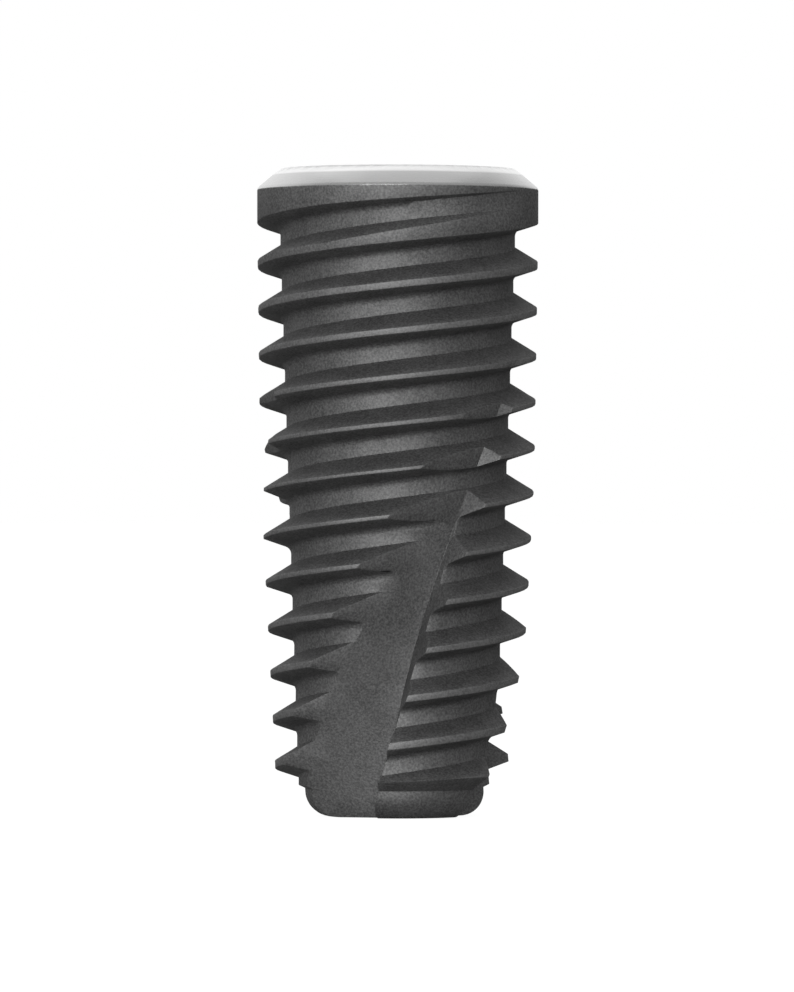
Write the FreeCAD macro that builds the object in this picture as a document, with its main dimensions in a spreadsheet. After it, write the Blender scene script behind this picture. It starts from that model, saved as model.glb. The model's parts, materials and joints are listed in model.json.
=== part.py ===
import FreeCAD, Part
import math
import os
import Sketcher

# A threaded dental implant fixture, turned and milled from one titanium bar.
# The apex stands on the XY plane, the axis is +Z and the platform with the connection is on top.
# Angles about the axis are counted from +X towards +Y. Millimetres and degrees.

os.makedirs("parts", exist_ok=True)
doc = FreeCAD.newDocument("DentalImplant")

# Driving dimensions
sizes = doc.addObject("Spreadsheet::Sheet", "Sizes")
driving = [
    ("implant_length", 11.5, "apex to platform"),
    ("collar_diameter", 5.0, "smooth ring above the thread"),
    ("collar_bottom", 10.5, "height where the crests reach the collar diameter"),
    ("collar_top", 11.157, "height where the collar ends and its bevel begins"),
    ("collar_edge_radius", 0.1, "rounding of the collar's upper edge"),
    ("wide_bevel_width", 0.258, "wide bevel across, inwards from the collar"),
    ("wide_bevel_height", 0.223, "rise of the wide bevel"),
    ("narrow_bevel_width", 0.162, "narrow bevel across, inwards to the platform's flat ring"),
    ("apex_diameter", 3.264, "plain round end below the thread"),
    ("apex_length", 0.5, "height of the plain round end"),
    ("apex_radius", 0.47, "rounding of the lower end"),
    ("lead_in_diameter", 4.32, "crest diameter at the first thread"),
    ("lead_in_top", 0.74, "height of the first full crest"),
    ("taper_diameter", 4.874, "crest diameter where the taper eases"),
    ("taper_top", 6.0, "height where the taper eases"),
    ("thread_starts", 2, "separate helical grooves"),
    ("thread_lead", 1.616, "rise of each groove in one turn"),
    ("groove_top", 10.526, "middle of the groove where its run-out begins"),
    ("groove_angle", -120, "angle about the axis where the run-out begins"),
    ("root_diameter", 3.453, "core diameter at the apex"),
    ("root_taper", 2.02, "half angle of the core's cone"),
    ("root_width", 0.308, "flat floor of the groove"),
    ("coronal_flank", 31.2, "slope of the flank that faces the platform"),
    ("apical_flank", 17, "slope of the flank that faces the apex"),
    ("runout_turn", 88, "angle over which a groove rises out of the collar"),
    ("flute_count", 3, "cutting flutes"),
    ("flute_angle", -106.2, "angle of the flute's inner corner at the apex"),
    ("flute_twist", 9.4, "turn of the flute in degrees for each millimetre of height"),
    ("flute_floor", 0.86, "distance of the flute's inner corner from the axis at the apex"),
    ("flute_taper", 11.1, "slope of the inner corner away from the axis"),
    ("flute_end", 8, "height where the flute leaves the crests"),
    ("flute_lean", 60, "lean of the flute's wall off the radius where it leaves the crests"),
    ("cone_diameter", 3.35, "mouth of the conical seat"),
    ("cone_taper", 11, "half angle of the conical seat"),
    ("cone_depth", 1.1, "depth of the conical seat"),
    ("hex_width", 2.5, "hexagon across its flats"),
    ("hex_depth", 2.4, "depth of the hexagon's floor"),
    ("relief_diameter", 2.1, "plain bore below the hexagon"),
    ("relief_depth", 3.0, "depth where the screw's thread begins"),
    ("screw_diameter", 1.6, "bore for the thread of an M2 abutment screw"),
    ("screw_depth", 6.5, "depth of the full screw bore"),
    ("drill_point", 59, "half angle of the drilled end"),
]
for row, (alias, value, note) in enumerate(driving, start=1):
    sizes.set("A%d" % row, alias)
    sizes.set("B%d" % row, str(value))
    sizes.set("C%d" % row, note)
    sizes.setAlias("B%d" % row, alias)
doc.recompute()

implant = doc.addObject("PartDesign::Body", "Implant")
implant.Label = "implant_body"


def origin_feature(role):
    """The body's own origin plane or axis of this role."""
    return next(feature for feature in implant.Origin.OriginFeatures if feature.Role == role)


def new_sketch(name, plane, height="0", turn="0", turn_axis=FreeCAD.Vector(0, 0, 1)):
    """An empty sketch on an origin plane, lifted along its normal and turned about turn_axis."""
    sketch = implant.newObject("Sketcher::SketchObject", name)
    sketch.AttachmentSupport = [(origin_feature(plane), "")]
    sketch.MapMode = "FlatFace"
    sketch.AttachmentOffset = FreeCAD.Placement(FreeCAD.Vector(), FreeCAD.Rotation(turn_axis, 1))
    sketch.setExpression("AttachmentOffset.Base.z", height)
    sketch.setExpression("AttachmentOffset.Rotation.Angle", turn)
    return sketch


def draw_outline(sketch, corners):
    """A closed outline through corners, each an expression across and one along the axis."""
    points = [FreeCAD.Vector(float(sketch.evalExpression(across)), float(sketch.evalExpression(along)), 0)
              for across, along in corners]
    for start, end in zip(points, points[1:] + points[:1]):
        sketch.addGeometry(Part.LineSegment(start, end))
    for line in range(len(points)):
        following = (line + 1) % len(points)
        sketch.addConstraint(Sketcher.Constraint("Coincident", line, 2, following, 1))
    for line, (across, along) in enumerate(corners):
        for direction, expression, axis in (("DistanceX", across, -2), ("DistanceY", along, -1)):
            if expression == "0":
                sketch.addConstraint(Sketcher.Constraint("PointOnObject", line, 1, axis))
            else:
                value = float(sketch.evalExpression(expression))
                index = sketch.addConstraint(Sketcher.Constraint(direction, -1, 1, line, 1, value))
                sketch.setExpression("Constraints[%d]" % index, expression)
    doc.recompute()


# Turned blank: apex, lead-in cone, two crest tapers, collar, two bevels and platform
bevel_radius = "(Sizes.collar_diameter / 2 - Sizes.wide_bevel_width)"
platform_radius = "(%s - Sizes.narrow_bevel_width)" % bevel_radius
blank_outline = new_sketch("BlankOutline", "XZ_Plane")
draw_outline(blank_outline, [
    ("0", "0"),
    ("Sizes.apex_diameter / 2", "0"),
    ("Sizes.apex_diameter / 2", "Sizes.apex_length"),
    ("Sizes.lead_in_diameter / 2", "Sizes.lead_in_top"),
    ("Sizes.taper_diameter / 2", "Sizes.taper_top"),
    ("Sizes.collar_diameter / 2", "Sizes.collar_bottom"),
    ("Sizes.collar_diameter / 2", "Sizes.collar_top"),
    (bevel_radius, "Sizes.collar_top + Sizes.wide_bevel_height"),
    (platform_radius, "Sizes.implant_length"),
    ("0", "Sizes.implant_length"),
])
blank = implant.newObject("PartDesign::Revolution", "Blank")
blank.Profile = blank_outline
blank.ReferenceAxis = (blank_outline, ["V_Axis"])
blank.Angle = 360
doc.recompute()


def ring_edge(feature, radius, height):
    """Name of the circular edge of this radius at this height."""
    tolerance = 1e-4
    for number, edge in enumerate(feature.Shape.Edges, start=1):
        curve = edge.Curve
        if not isinstance(curve, Part.Circle):
            continue
        if abs(curve.Radius - radius) < tolerance and abs(curve.Center.z - height) < tolerance:
            return "Edge%d" % number
    raise RuntimeError("no ring edge of radius %.3f at height %.3f" % (radius, height))


def round_ring(name, base, radius, height, rounding):
    """Rounds one ring edge by the size named rounding."""
    fillet = implant.newObject("PartDesign::Fillet", name)
    fillet.Base = (base, [ring_edge(base, radius, height)])
    fillet.setExpression("Radius", rounding)
    doc.recompute()
    return fillet


apex_round = round_ring("ApexRound", blank, sizes.apex_diameter / 2, 0, "Sizes.apex_radius")
collar_round = round_ring("CollarRound", apex_round, sizes.collar_diameter / 2, sizes.collar_top,
                          "Sizes.collar_edge_radius")

# Thread groove: a buttress section with a flat floor. It goes down the core one turn at a time, and its
# top end climbs out through the collar. The same grooves repeat for the other start of the thread.
groove_clearance = 0.02
groove_reach = "((max(Sizes.collar_diameter; Sizes.taper_diameter) - Sizes.root_diameter) / 2 + %g)" % (
    groove_clearance)
runout_overrun = 1.15


def core_radius(level):
    """Radius of the core's cone at this height."""
    return "(Sizes.root_diameter / 2 + %s * tan(Sizes.root_taper))" % level


def cut_groove(name, level, height, cone_angle, downwards):
    """Sweeps the groove's section from this level along a conical helix and cuts it away."""
    section = new_sketch(name + "Section", "XZ_Plane", turn="Sizes.groove_angle",
                         turn_axis=FreeCAD.Vector(0, 1, 0))
    floor = core_radius(level)
    mouth = "%s + %s" % (floor, groove_reach)
    lower_edge = "%s - Sizes.root_width / 2" % level
    upper_edge = "%s + Sizes.root_width / 2" % level
    draw_outline(section, [
        (floor, lower_edge),
        (mouth, "%s - %s * tan(Sizes.coronal_flank)" % (lower_edge, groove_reach)),
        (mouth, "%s + %s * tan(Sizes.apical_flank)" % (upper_edge, groove_reach)),
        (floor, upper_edge),
    ])
    groove = implant.newObject("PartDesign::SubtractiveHelix", name)
    groove.Profile = section
    groove.ReferenceAxis = (section, ["V_Axis"])
    groove.Mode = "pitch-height-angle"
    groove.setExpression("Pitch", "Sizes.thread_lead")
    groove.setExpression("Height", height)
    groove.setExpression("Angle", cone_angle)
    groove.LeftHanded = False
    groove.Reversed = downwards
    doc.recompute()
    return groove


runout_rise = "(Sizes.thread_lead * Sizes.runout_turn / 360)"
collar_depth = "(Sizes.collar_diameter / 2 - %s)" % core_radius("Sizes.groove_top")
grooves = [cut_groove("GrooveRunout", "Sizes.groove_top", "%g * %s" % (runout_overrun, runout_rise),
                      "atan(%s / %s)" % (collar_depth, runout_rise), False)]
groove_turns = math.ceil(sizes.groove_top / sizes.thread_lead)
for turn in range(groove_turns):
    turn_top = "(Sizes.groove_top - Sizes.thread_lead * %d)" % turn
    grooves.append(cut_groove("GrooveTurn%d" % (turn + 1), turn_top, "Sizes.thread_lead",
                              "-Sizes.root_taper", True))
thread = implant.newObject("PartDesign::PolarPattern", "Thread")
thread.Originals = grooves
thread.Axis = (origin_feature("Z_Axis"), [""])
thread.Angle = 360
thread.setExpression("Occurrences", "Sizes.thread_starts")
implant.Tip = thread
doc.recompute()

# Cutting flute: a corner that twists round the core and leaves the crests near the top. Its floor is
# square to the radius, and its wall leans off the radius more and more as the flute grows shallow.
flute_bottom = -0.5
flute_overrun = 1.1
flute_section_count = 7
flute_reach = 3
flute_sections = []
for number in range(flute_section_count):
    share = number / (flute_section_count - 1)
    level = "(%g + %g * Sizes.flute_end)" % (flute_bottom * (1 - share), flute_overrun * share)
    section = new_sketch("FluteSection%d" % (number + 1), "XY_Plane", height=level,
                         turn="Sizes.flute_angle + Sizes.flute_twist * " + level)
    corner = "(Sizes.flute_floor + %s * tan(Sizes.flute_taper))" % level
    lean = "(Sizes.flute_lean * (%s / Sizes.flute_end) ^ 3)" % level
    draw_outline(section, [
        (corner, "0"),
        (corner, "-%g" % flute_reach),
        ("%s + %g" % (corner, 2 * flute_reach), "-%g" % flute_reach),
        ("%s + %g" % (corner, 2 * flute_reach), "%g * sin%s" % (flute_reach, lean)),
        ("%s + %g * cos%s" % (corner, flute_reach, lean), "%g * sin%s" % (flute_reach, lean)),
    ])
    flute_sections.append(section)
flute = implant.newObject("PartDesign::SubtractiveLoft", "Flute")
flute.Profile = flute_sections[0]
flute.Sections = flute_sections[1:]
flute.Ruled = False
doc.recompute()
flutes = implant.newObject("PartDesign::PolarPattern", "Flutes")
flutes.Originals = [flute]
flutes.Axis = (origin_feature("Z_Axis"), [""])
flutes.Angle = 360
flutes.setExpression("Occurrences", "Sizes.flute_count")
implant.Tip = flutes
doc.recompute()

# Connection: conical seat, plain bore and screw bore turned out of the head
cone_end = "(Sizes.cone_diameter / 2 - Sizes.cone_depth * tan(Sizes.cone_taper))"
bore_outline = new_sketch("BoreOutline", "XZ_Plane")
draw_outline(bore_outline, [
    ("0", "Sizes.implant_length"),
    ("Sizes.cone_diameter / 2", "Sizes.implant_length"),
    (cone_end, "Sizes.implant_length - Sizes.cone_depth"),
    ("Sizes.relief_diameter / 2", "Sizes.implant_length - Sizes.cone_depth"),
    ("Sizes.relief_diameter / 2", "Sizes.implant_length - Sizes.relief_depth"),
    ("Sizes.screw_diameter / 2", "Sizes.implant_length - Sizes.relief_depth"),
    ("Sizes.screw_diameter / 2", "Sizes.implant_length - Sizes.screw_depth"),
    ("0", "Sizes.implant_length - Sizes.screw_depth - Sizes.screw_diameter / 2 / tan(Sizes.drill_point)"),
])
bore = implant.newObject("PartDesign::Groove", "Bore")
bore.Profile = bore_outline
bore.ReferenceAxis = (bore_outline, ["V_Axis"])
bore.Angle = 360
doc.recompute()

# Hexagonal socket below the conical seat
hex_outline = new_sketch("HexOutline", "XY_Plane", height="Sizes.implant_length")
hex_sides = 6
hex_angles = [360 / hex_sides * (side + 0.5) for side in range(hex_sides)]
hex_radius = "(Sizes.hex_width / 2 / cos(180 / %d))" % hex_sides
draw_outline(hex_outline, [
    ("%s * cos(%g)" % (hex_radius, angle), "%s * sin(%g)" % (hex_radius, angle)) for angle in hex_angles
])
hex_socket = implant.newObject("PartDesign::Pocket", "HexSocket")
hex_socket.Profile = hex_outline
hex_socket.setExpression("Length", "Sizes.hex_depth")
doc.recompute()
implant.Tip = hex_socket
doc.recompute()

# Nothing is written unless every object and the finished shape are sound
for thing in doc.Objects:
    if "Invalid" in thing.State or "Error" in thing.State:
        raise RuntimeError("%s is %s" % (thing.Label, thing.State))
if implant.Shape.isNull() or not implant.Shape.isValid():
    raise RuntimeError("%s has no valid shape" % implant.Label)
implant.Shape.exportStep("parts/%s.step" % implant.Label)
print("%s: %d solid, %.3f mm3" % (implant.Label, len(implant.Shape.Solids), implant.Shape.Volume))
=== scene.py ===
import json
import math
import bpy
from mathutils import Matrix, Vector

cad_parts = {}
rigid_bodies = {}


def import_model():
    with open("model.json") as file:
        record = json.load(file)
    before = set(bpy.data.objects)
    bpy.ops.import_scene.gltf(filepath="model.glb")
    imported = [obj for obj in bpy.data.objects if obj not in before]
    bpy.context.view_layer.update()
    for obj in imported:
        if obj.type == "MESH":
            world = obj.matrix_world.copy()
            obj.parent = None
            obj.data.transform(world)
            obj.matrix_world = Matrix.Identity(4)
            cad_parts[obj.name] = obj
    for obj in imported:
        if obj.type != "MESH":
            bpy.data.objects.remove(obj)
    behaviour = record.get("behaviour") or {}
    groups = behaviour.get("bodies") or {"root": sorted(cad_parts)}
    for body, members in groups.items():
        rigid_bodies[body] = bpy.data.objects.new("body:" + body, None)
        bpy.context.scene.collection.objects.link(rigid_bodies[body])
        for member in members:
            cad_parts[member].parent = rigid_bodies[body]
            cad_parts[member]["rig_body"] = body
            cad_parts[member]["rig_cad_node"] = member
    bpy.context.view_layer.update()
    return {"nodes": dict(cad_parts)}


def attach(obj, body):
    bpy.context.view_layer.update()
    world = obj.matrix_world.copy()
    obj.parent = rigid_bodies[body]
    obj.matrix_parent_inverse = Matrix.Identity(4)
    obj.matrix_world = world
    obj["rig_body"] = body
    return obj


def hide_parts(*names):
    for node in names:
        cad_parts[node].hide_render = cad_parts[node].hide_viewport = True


# A threaded dental implant of titanium. The thread, the flutes and the collar are blasted and etched
# dark, and the bevels, the platform and the bore keep the bright finish of the lathe.

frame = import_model()
bodyNode = frame["nodes"]["implant_body"]
bpy.ops.object.select_all(action="DESELECT")
mm = 0.001
print("frame loaded")


class Wire:
    # a socket of a shader, on which sums are written as sums

    def __init__(self, tree, socket=None):
        self.tree = tree
        self.socket = socket

    def node(self, kind, settings=None, inputs=None, output=0):
        # adds one node: its settings first, then the values or links of its sockets
        made = self.tree.nodes.new(kind)
        for name, value in (settings or {}).items():
            setattr(made, name, value)
        for name, value in (inputs or {}).items():
            if isinstance(value, Wire):
                self.tree.links.new(value.socket, made.inputs[name])
            else:
                made.inputs[name].default_value = value
        return Wire(self.tree, made.outputs[output] if len(made.outputs) else None)

    def math(self, operation, first, second):
        return self.node("ShaderNodeMath", {"operation": operation}, {0: first, 1: second})

    def __add__(self, other):
        return self.math("ADD", self, other)

    def __radd__(self, other):
        return self.math("ADD", other, self)

    def __sub__(self, other):
        return self.math("SUBTRACT", self, other)

    def __rsub__(self, other):
        return self.math("SUBTRACT", other, self)

    def __mul__(self, other):
        return self.math("MULTIPLY", self, other)

    def __rmul__(self, other):
        return self.math("MULTIPLY", other, self)

    def __pow__(self, other):
        return self.math("POWER", self, other)

    def axis(self, letter):
        # one coordinate of a place or direction
        return self.node("ShaderNodeSeparateXYZ", inputs={"Vector": self}, output=letter)

    def step(self, start, end):
        # 0 before start, 1 after end and smooth between
        return self.node("ShaderNodeMapRange", {"interpolation_type": "SMOOTHSTEP"},
                         {"Value": self, "From Min": start, "From Max": end})

    def ramp(self, start, end, low, high):
        # low before start, high after end and straight between
        return self.node("ShaderNodeMapRange", {"interpolation_type": "LINEAR"},
                         {"Value": self, "From Min": start, "From Max": end, "To Min": low, "To Max": high})

    def noise(self, scale, detail=2.0, rough=0.5):
        return self.node("ShaderNodeTexNoise", {}, {"Vector": self, "Scale": scale, "Detail": detail,
                                                    "Roughness": rough})

    def swing(self, amount):
        # noise is 0.5 on average, and this makes it a change about zero
        return (self - 0.5) * amount

    def blend(self, before, after):
        # mixes two colours by this value
        return self.node("ShaderNodeMix", {"data_type": "RGBA"}, {0: self, 6: before, 7: after}, 2)


def grey(level):
    return (level, level, level, 1.0)


def emptyTree(owner):
    # clears the nodes of a material or world, and gives what its first nodes are made with
    owner.use_nodes = True
    owner.node_tree.nodes.clear()
    return Wire(owner.node_tree)


# The implant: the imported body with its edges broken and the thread's roots rounded, as tools leave them.
# Angles are in degrees.
implantShape = {
    "weldDistance": 0.006 * mm,   # closes the slivers where the groove's turns meet
    "sliverLength": 0.0003 * mm,  # what is left below this is dissolved
    "quadAngle": 5,               # two triangles flatter than this become one face
    "quadSkew": 100,              # how far that face's corners may differ
    "sharpAngle": 38,             # between two faces that make a real edge
    "edgeRounding": 0.008 * mm,
    "edgeSegments": 2,
    "smoothAngle": 38,
    "normalWeight": 70,           # percent, and 50 weighs by plain area
    "rootRounding": 0.09 * mm,    # where the thread's underside meets the root
    "rootSegments": 4,
    "rootWeld": 0.03 * mm,        # evens out the steps in that corner from turn to turn
    "rootRadii": (1.25 * mm, 2.25 * mm),
    "rootBottom": 0.9 * mm,
    "undersideTilt": -0.6,        # the underside's normal points down by more than this
    "rootTilt": 0.3,              # the root's normal is nearly level
}


def selectEdges(piece, wanted):
    # the edges at the depth of the thread's roots that wanted says yes to, with their vertices
    mesh = piece.data
    sides = {}
    for face in mesh.polygons:
        for key in face.edge_keys:
            sides.setdefault(key, []).append(face)
    low, high = implantShape["rootRadii"]
    chosen = set()
    for edge in mesh.edges:
        ends = [mesh.vertices[index].co for index in edge.vertices]
        middle = (ends[0] + ends[1]) / 2
        atDepth = low < math.hypot(middle.x, middle.y) < high and middle.z > implantShape["rootBottom"]
        edge.select = atDepth and wanted(ends, sides.get(tuple(sorted(edge.vertices)), []))
        if edge.select:
            chosen.update(edge.vertices)
    for vertex in mesh.vertices:
        vertex.select = vertex.index in chosen


def isShort(ends, faces):
    return (ends[0] - ends[1]).length < implantShape["rootWeld"]


def isRootCorner(ends, faces):
    # the inner corner between the thread's underside and its root
    if len(faces) != 2:
        return False
    under, root = sorted(faces, key=lambda face: face.normal.z)
    facesDown = under.normal.z < implantShape["undersideTilt"]
    isLevel = abs(root.normal.z) < implantShape["rootTilt"]
    return facesDown and isLevel and (root.center - under.center).dot(under.normal) > 0


def makeImplant():
    bodyNode.select_set(True)
    bpy.context.view_layer.objects.active = bodyNode
    bpy.ops.object.duplicate()
    piece = bpy.context.active_object
    piece.name = "implant_titanium"
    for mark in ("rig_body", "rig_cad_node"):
        del piece[mark]
    piece.parent = None
    # the loose triangles are joined into whole faces
    bpy.ops.object.mode_set(mode="EDIT")
    bpy.ops.mesh.select_mode(type="EDGE")
    bpy.ops.mesh.select_all(action="SELECT")
    bpy.ops.mesh.remove_doubles(threshold=implantShape["weldDistance"])
    bpy.ops.mesh.customdata_custom_splitnormals_clear()
    bpy.ops.mesh.dissolve_degenerate(threshold=implantShape["sliverLength"])
    bpy.ops.mesh.tris_convert_to_quads(face_threshold=math.radians(implantShape["quadAngle"]),
                                       shape_threshold=math.radians(implantShape["quadSkew"]))
    bpy.ops.mesh.select_all(action="DESELECT")
    bpy.ops.object.mode_set(mode="OBJECT")
    # the roots lose their short edges, and then their corner is rounded
    selectEdges(piece, isShort)
    bpy.ops.object.mode_set(mode="EDIT")
    bpy.ops.mesh.remove_doubles(threshold=implantShape["rootWeld"])
    bpy.ops.mesh.select_all(action="DESELECT")
    bpy.ops.object.mode_set(mode="OBJECT")
    selectEdges(piece, isRootCorner)
    bpy.ops.object.mode_set(mode="EDIT")
    bpy.ops.mesh.bevel(offset=implantShape["rootRounding"], segments=implantShape["rootSegments"],
                       clamp_overlap=False)
    bpy.ops.mesh.select_all(action="DESELECT")
    # every sharp edge is broken a little
    bpy.ops.mesh.edges_select_sharp(sharpness=math.radians(implantShape["sharpAngle"]))
    bpy.ops.mesh.bevel(offset=implantShape["edgeRounding"], segments=implantShape["edgeSegments"],
                       clamp_overlap=False)
    bpy.ops.object.mode_set(mode="OBJECT")
    bpy.ops.object.shade_smooth_by_angle(angle=math.radians(implantShape["smoothAngle"]))
    # large faces keep their own normal, so that small facets beside them don't show
    weighing = piece.modifiers.new("normals", "WEIGHTED_NORMAL")
    weighing.keep_sharp = True
    weighing.weight = implantShape["normalWeight"]
    bpy.ops.object.modifier_apply(modifier=weighing.name)
    return piece


# Titanium: one finish for the whole piece, dark outside and bright on the machined faces.
# Greys run from 0, black, to 1, white, and scales count the spots in a metre.
implantFinish = {
    "blastedDark": 0.12,
    "blastedLight": 0.29,
    "blastedRoughness": 0.66,
    "blastedSwing": 0.15,         # how far the grain changes that roughness
    "edgeTint": 0.25,             # darkens the blasted metal where it is seen at a grazing angle
    "grainScale": 26000,          # spots about 0.04 mm across
    "grainBreakup": 0.6,
    "grainRange": (0.25, 0.8),    # the noise that is fully dark and fully light
    "grainShare": 0.85,
    "cloudScale": 1500,
    "cloudRange": (0.35, 0.65),
    "cloudShare": 0.15,
    "fineGrainScale": 45000,
    "fineGrainDetail": 1.0,
    "pitShares": (0.8, 0.2),      # of the grain and the fine grain in the pits
    "pitDepth": 0.007 * mm,
    "crestHighlight": 0.28,            # how far the crests of the thread go to the light tone: a painted highlight along them
    "crestDepth": 0.035 * mm,
    "crestFade": 0.5 * mm,
    "crestRadii": (2.16 * mm, 2.437 * mm, 2.5 * mm),
    "crestHeights": (0.74 * mm, 6 * mm, 10.2 * mm),
    "bevelLevel": 0.66,
    "topHighlightTone": 0.96,
    "topHeight": 11.37 * mm,      # the narrow bevel and the platform above this are painted brighter, a painted highlight
    "topBlur": 0.036 * mm,
    "turnedRoughness": 0.26,
    "turnedSwing": 0.08,          # how far the tool marks change that roughness
    "toolMarkScale": 45000,
    "toolMarkDetail": 2.0,
    "toolMarkSlope": 0.7,         # how close the marks lie down the bore, to 1 across the platform
    "toolMarkRange": (0.3, 0.7),
    "toolMarkLevel": 0.4,
    "toolMarkShare": 0.06,
    "toolMarkDepth": 0.0005 * mm,
    "maskHeight": 11.133 * mm,    # blasting was masked off above this
    "maskBlur": 0.012 * mm,
    "boreRadius": 1.7 * mm,
    "boreBottom": 4.4 * mm,
}


def makeTitanium():
    finish = implantFinish
    material = bpy.data.materials.new("titanium_blasted_and_turned")
    start = emptyTree(material)
    place = start.node("ShaderNodeTexCoord", output="Object")
    across = place.axis("X")
    along = place.axis("Y")
    height = place.axis("Z")
    radius = (across * across + along * along) ** 0.5

    # blasted and etched: fine dark and light grain with soft clouds
    grain = place.noise(finish["grainScale"], rough=finish["grainBreakup"])
    fineGrain = place.noise(finish["fineGrainScale"], detail=finish["fineGrainDetail"])
    cloud = place.noise(finish["cloudScale"])
    speckle = (grain.step(*finish["grainRange"]) * finish["grainShare"]
               + cloud.step(*finish["cloudRange"]) * finish["cloudShare"])
    # painted highlight: the crests are made a little lighter for the bright line along them; their radius
    # is that of the thread's taper at this height
    lowRadius, midRadius, highRadius = finish["crestRadii"]
    lowEnd, midEnd, highEnd = finish["crestHeights"]
    taper = (height.ramp(lowEnd, midEnd, lowRadius, midRadius)
             + height.ramp(midEnd, highEnd, 0.0, highRadius - midRadius))
    atCrest = (radius - taper).step(-finish["crestDepth"], 0.0)
    underCollar = 1 - height.step(highEnd - finish["crestFade"], highEnd)
    # the crests' painted highlight is added to the grain's tone
    tone = speckle + atCrest * underCollar * finish["crestHighlight"]
    coarse, fine = finish["pitShares"]
    pits = start.node("ShaderNodeBump", inputs={"Strength": 1.0, "Distance": finish["pitDepth"],
                                                "Height": grain * coarse + fineGrain * fine})
    blasted = start.node("ShaderNodeBsdfPrincipled", inputs={
        "Metallic": 1.0,
        "Specular Tint": grey(finish["edgeTint"]),
        "Base Color": tone.blend(grey(finish["blastedDark"]), grey(finish["blastedLight"])),
        "Roughness": finish["blastedRoughness"] + grain.swing(finish["blastedSwing"]),
        "Normal": pits,
    })

    # turned: faint rings that follow the tool, and a brighter colour on top that is a painted highlight
    toolPath = (radius + height * finish["toolMarkSlope"]) * finish["toolMarkScale"]
    toolMarks = start.node("ShaderNodeTexNoise", {"noise_dimensions": "1D"},
                           {"W": toolPath, "Detail": finish["toolMarkDetail"]})
    # painted highlight: above topHeight the turned colour goes from the bevel's level to a brighter one
    topHighlightMask = height.step(finish["topHeight"], finish["topHeight"] + finish["topBlur"])
    level = topHighlightMask.blend(grey(finish["bevelLevel"]), grey(finish["topHighlightTone"]))
    shaded = toolMarks.step(*finish["toolMarkRange"]) * finish["toolMarkShare"]
    rings = start.node("ShaderNodeBump", inputs={"Strength": 1.0, "Distance": finish["toolMarkDepth"],
                                                 "Height": toolMarks})
    turned = start.node("ShaderNodeBsdfPrincipled", inputs={
        "Metallic": 1.0,
        "Base Color": shaded.blend(level, grey(finish["toolMarkLevel"])),
        "Roughness": finish["turnedRoughness"] + toolMarks.swing(finish["turnedSwing"]),
        "Normal": rings,
    })

    # turned where the mask kept the blasting off, and all the way down the bore
    blur = finish["maskBlur"]
    maskEdge = height + grain.swing(blur)
    underMask = maskEdge.step(finish["maskHeight"] - blur, finish["maskHeight"] + blur)
    nearAxis = 1 - radius.step(finish["boreRadius"] - blur, finish["boreRadius"])
    inBore = nearAxis * height.step(finish["boreBottom"] - blur, finish["boreBottom"])
    bright = start.node("ShaderNodeClamp", inputs={"Value": underMask + inBore})
    shader = start.node("ShaderNodeMixShader", inputs={0: bright, 1: blasted, 2: turned})
    start.node("ShaderNodeOutputMaterial", inputs={"Surface": shader})
    return material


implant = makeImplant()
implant.data.materials.clear()
implant.data.materials.append(makeTitanium())
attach(implant, "root")
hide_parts("implant_body")
print("implant made:", len(implant.data.polygons), "faces")

# Floor and sky: white to the camera. The metal sees a dim floor and room, and a white backdrop behind it.
studio = {
    "floorSize": 3.0,
    "floorLevel": -0.01 * mm,     # a hair below the apex
    "floorColour": 0.2,
    "paperScale": 400,
    "paperDetail": 3.0,
    "paperShade": 0.98,           # the darker spots of the paper against its colour
    "floorGlow": 0.95,
    "floorInMetal": 0.14,         # the share of that glow that shows in metal
    "backdropTurn": 20,           # degrees that the middle of the backdrop lies to the left
    "backdropEdge": (0.0, 0.95),  # where the backdrop starts and where it is white, 1 in its middle
    "roomLevel": 0.3,
    "ceilingLevel": 0.42,
    "ceilingEdge": (0.2, 0.8),    # where the ceiling starts and ends, 0 level and 1 straight up
}


def seenDirectly(start, inMetal):
    # 1 for what the camera sees itself, and inMetal for what it sees in metal or through glass
    camera, glossy, glass = [start.node("ShaderNodeLightPath", output="Is %s Ray" % kind)
                             for kind in ("Camera", "Glossy", "Transmission")]
    return start.node("ShaderNodeClamp", inputs={"Value": camera + (glossy + glass) * inMetal})


def makeFloor():
    bpy.ops.mesh.primitive_plane_add(size=studio["floorSize"], location=(0, 0, studio["floorLevel"]))
    floor = bpy.context.active_object
    floor.name = "floor"
    bpy.ops.object.transform_apply(location=True, rotation=True, scale=True)
    material = bpy.data.materials.new("floor_paper")
    start = emptyTree(material)
    place = start.node("ShaderNodeTexCoord", output="Object")
    paper = place.noise(studio["paperScale"], detail=studio["paperDetail"])
    colour = studio["floorColour"]
    shade = paper.blend(grey(colour * studio["paperShade"]), grey(colour))
    matt = start.node("ShaderNodeBsdfDiffuse", inputs={"Color": shade})
    strength = seenDirectly(start, studio["floorInMetal"]) * studio["floorGlow"]
    glow = start.node("ShaderNodeEmission", inputs={"Strength": strength})
    both = start.node("ShaderNodeAddShader", inputs={0: matt, 1: glow})
    start.node("ShaderNodeOutputMaterial", inputs={"Surface": both})
    floor.data.materials.append(material)


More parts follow.
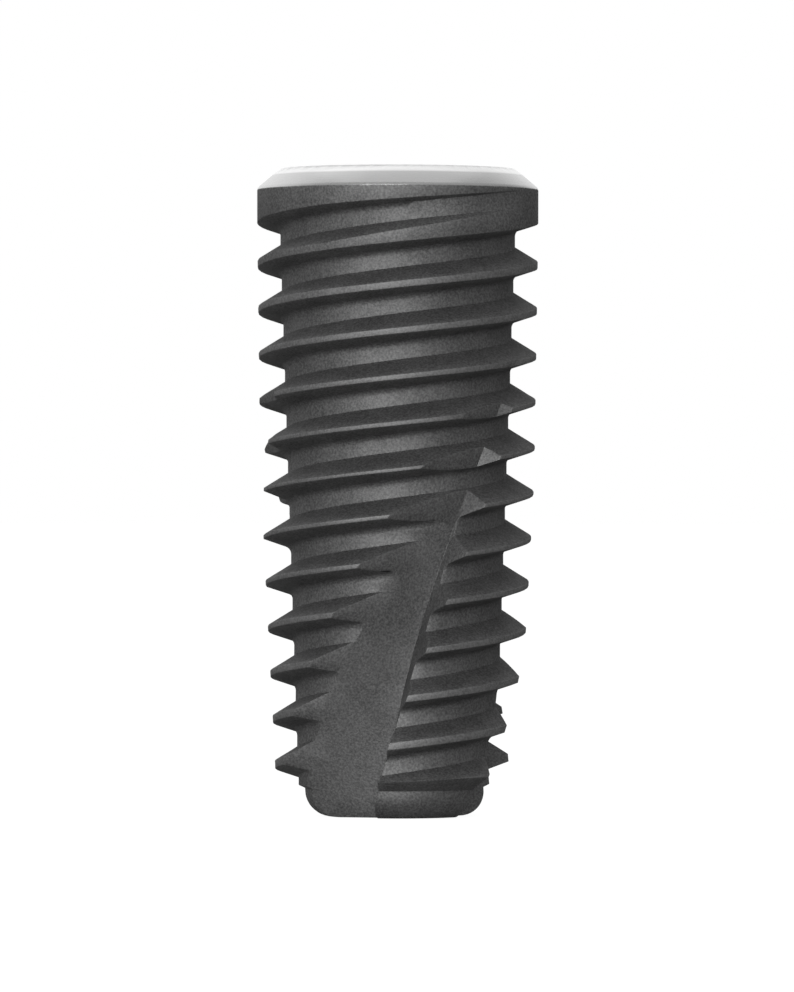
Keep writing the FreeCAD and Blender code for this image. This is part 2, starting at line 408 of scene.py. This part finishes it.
def makeSky():
    world = bpy.data.worlds.new("studio")
    bpy.context.scene.world = world
    start = emptyTree(world)
    direction = start.node("ShaderNodeTexCoord", output="Generated")
    # the backdrop fades into the room beside and above it
    turn = math.radians(studio["backdropTurn"])
    behind = direction.axis("Y") * math.cos(turn) - direction.axis("X") * math.sin(turn)
    overhead = direction.axis("Z").step(*studio["ceilingEdge"])
    room = studio["roomLevel"] + overhead * (studio["ceilingLevel"] - studio["roomLevel"])
    backdrop = behind.step(*studio["backdropEdge"])
    level = room + seenDirectly(start, backdrop) * (1 - room)
    sky = start.node("ShaderNodeBackground", inputs={"Color": (1, 1, 1, 1), "Strength": level})
    start.node("ShaderNodeOutputWorld", inputs={"Surface": sky})


# Lamps: a soft key just left of the camera and a soft box above and behind.
lamps = {
    "key": {"place": (-0.075, -0.30, 0.02), "size": 0.24, "radiance": 6.4},
    "top": {"place": (0.0, 0.06, 0.26), "size": 0.24, "radiance": 0.25},
}
lampTarget = Vector((0, 0, 6 * mm))


def makeLamp(name, place, size, radiance):
    bpy.ops.object.light_add(type="AREA", location=place)
    lamp = bpy.context.active_object
    lamp.name = name
    lamp.data.size = size
    lamp.data.energy = radiance * math.pi * size * size  # its face is equally bright at any size
    lamp.rotation_euler = (lampTarget - Vector(place)).to_track_quat("-Z", "Y").to_euler()


# Camera: level with the middle of the implant, with a long lens.
view = {
    "distance": 0.146,
    "height": 5.69 * mm,
    "sideways": -0.0053 * mm,
    "roll": 0.089,                # degrees
    "lens": 298,
    "sensor": 36,
    "nearest": 0.01,
    "farthest": 20,
}


def makeCamera():
    bpy.ops.object.camera_add(location=(view["sideways"], -view["distance"], view["height"]))
    camera = bpy.context.active_object
    level = Matrix.Rotation(math.radians(90), 4, "X")
    roll = Matrix.Rotation(math.radians(view["roll"]), 4, "Z")
    camera.rotation_euler = (level @ roll).to_euler()
    camera.data.lens = view["lens"]
    camera.data.sensor_width = view["sensor"]
    camera.data.clip_start = view["nearest"]
    camera.data.clip_end = view["farthest"]
    bpy.context.scene.camera = camera


makeFloor()
makeSky()
for name, lamp in lamps.items():
    makeLamp(name, **lamp)
makeCamera()
bpy.context.scene.view_settings.view_transform = "Standard"
print("studio made")
